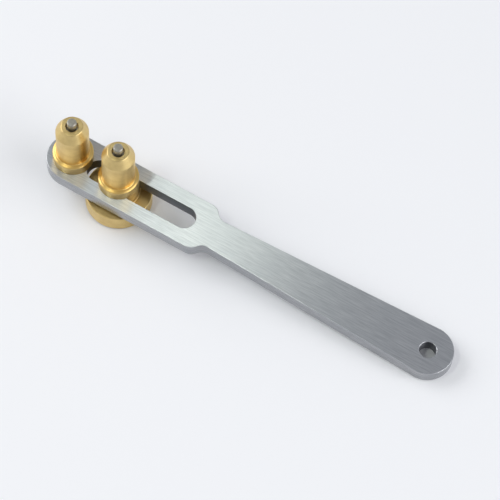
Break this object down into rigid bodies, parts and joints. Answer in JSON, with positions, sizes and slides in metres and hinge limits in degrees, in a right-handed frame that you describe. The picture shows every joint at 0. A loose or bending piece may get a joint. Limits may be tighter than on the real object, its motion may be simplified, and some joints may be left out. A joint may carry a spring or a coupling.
{
  "type": "adjustable pin spanner",
  "caption": "Flat steel bar spanner with a fixed and a sliding brass post, each with a steel pin, and a round clamping nut under the slotted head.",
  "frame": {"origin": "on the fixed pin's axis, in the plane of the two post noses, where the pin's working tip begins", "axes": "+X from the fixed pin along the bar to the handle end, +Z along the pins away from the bar, +Y across the bar; the bar lies flat below the posts"},
  "size_m": [0.1894, 0.028, 0.0451],
  "materials": {
    "bar_steel": "brushed along the bar",
    "brass": "turned, semi-bright",
    "pin_steel": "turned, dull",
    "plated_steel": "zinc plated"
  },
  "bodies": {
    "frame": {"bar": "bar_steel", "fixed_post": "brass", "fixed_pin": "pin_steel", "fixed_post_screw": "plated_steel"},
    "carriage": {"sliding_post": "brass", "sliding_pin": "pin_steel", "clamp_stud": "plated_steel"},
    "washer": {"clamp_washer": "brass"},
    "nut": {"thumb_nut": "brass"}
  },
  "joints": [
    {"name": "post_slide", "type": "slide", "parent": "frame", "child": "carriage", "axis": [1, 0, 0], "range_m": [-0.003, 0.0248]},
    {"name": "washer_drop", "type": "slide", "parent": "carriage", "child": "washer", "axis": [0, 0, -1], "range_m": [0, 0.00125]},
    {"name": "nut_turn", "type": "hinge", "parent": "washer", "child": "nut", "pos_m": [0.022, 0, -0.036], "axis": [0, 0, 1], "range_deg": [0, 360]}
  ],
  "couplings": [
    {"joint": "washer_drop", "follows": "nut_turn", "m_per_rad": 0.00019894}
  ]
}
